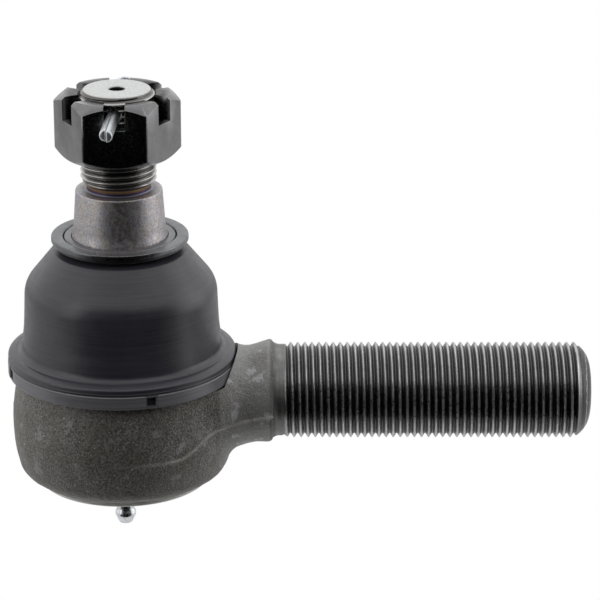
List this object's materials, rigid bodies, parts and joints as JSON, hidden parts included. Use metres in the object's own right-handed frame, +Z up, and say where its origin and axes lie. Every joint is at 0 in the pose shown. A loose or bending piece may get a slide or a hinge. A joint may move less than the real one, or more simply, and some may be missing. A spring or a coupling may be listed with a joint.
{
  "type": "tie rod end",
  "caption": "Heavy-duty steering tie rod end: a sprung ball joint in a forged eye with a threaded shank, a tapered stud, a rubber boot, a castle nut and a cotter pin.",
  "frame": {"origin": "on the shank's axis, where its full thread starts; the ball centre is 50 mm behind it on the same axis", "axes": "+X along the shank to its tip; +Z up the ball stud to the castle nut; +Y completes the right-handed frame"},
  "size_m": [0.1737, 0.068, 0.1368],
  "materials": {
    "forged_steel": "as forged, shot blasted and oiled, with turned thread and seat",
    "turned_steel": "turned and ground, heat tinted beside the thread",
    "bearing_steel": "hardened, satin",
    "spring_steel": "oiled wire",
    "phosphated_steel": "pressed and phosphated",
    "washer_steel": "pressed, dull",
    "coated_steel": "black coated strip, satin",
    "black_oxide": "black oxide, satin",
    "zinc_plate": "bright zinc plate",
    "boot_rubber": "moulded, satin",
    "seal_rubber": "moulded, dull"
  },
  "bodies": {
    "housing": {"housing": "forged_steel", "upper_bearing": "bearing_steel", "pressure_spring": "spring_steel", "bottom_plug": "phosphated_steel", "plug_seal": "seal_rubber", "grease_nipple": "zinc_plate", "nipple_spring": "spring_steel", "boot_retaining_ring": "coated_steel"},
    "lower_seat": {"lower_bearing": "bearing_steel", "spring_seat": "spring_steel"},
    "nipple_check": {"nipple_ball": "zinc_plate"},
    "boot": {"dust_boot": "boot_rubber"},
    "collar": {"stud_bushing": "washer_steel", "garter_spring": "spring_steel", "seal_lip_ring": "seal_rubber", "stud_washer": "washer_steel"},
    "stud": {"ball_stud": "turned_steel", "castle_nut": "black_oxide", "cotter_pin": "zinc_plate"}
  },
  "joints": [
    {"name": "tilt_fore", "type": "hinge", "parent": "housing", "child": "boot", "pos_m": [-0.05, 0, 0], "axis": [0, 1, 0], "range_deg": [-18, 18], "deforming": ["dust_boot"]},
    {"name": "tilt_side", "type": "hinge", "parent": "boot", "child": "collar", "pos_m": [-0.05, 0, 0], "axis": [1, 0, 0], "range_deg": [-18, 18], "deforming": ["dust_boot"]},
    {"name": "stud_spin", "type": "hinge", "parent": "collar", "child": "stud", "pos_m": [-0.05, 0, 0], "axis": [0, 0, 1], "continuous": true},
    {"name": "seat_travel", "type": "slide", "parent": "housing", "child": "lower_seat", "axis": [0, 0, -1], "range_m": [0, 0.0008], "stiffness_N_per_m": 20000, "springref_m": -0.002, "deforming": ["pressure_spring"]},
    {"name": "check_travel", "type": "slide", "parent": "housing", "child": "nipple_check", "axis": [0, 0, 1], "range_m": [0, 0.0008], "stiffness_N_per_m": 60, "springref_m": -0.001, "deforming": ["nipple_spring"]}
  ]
}
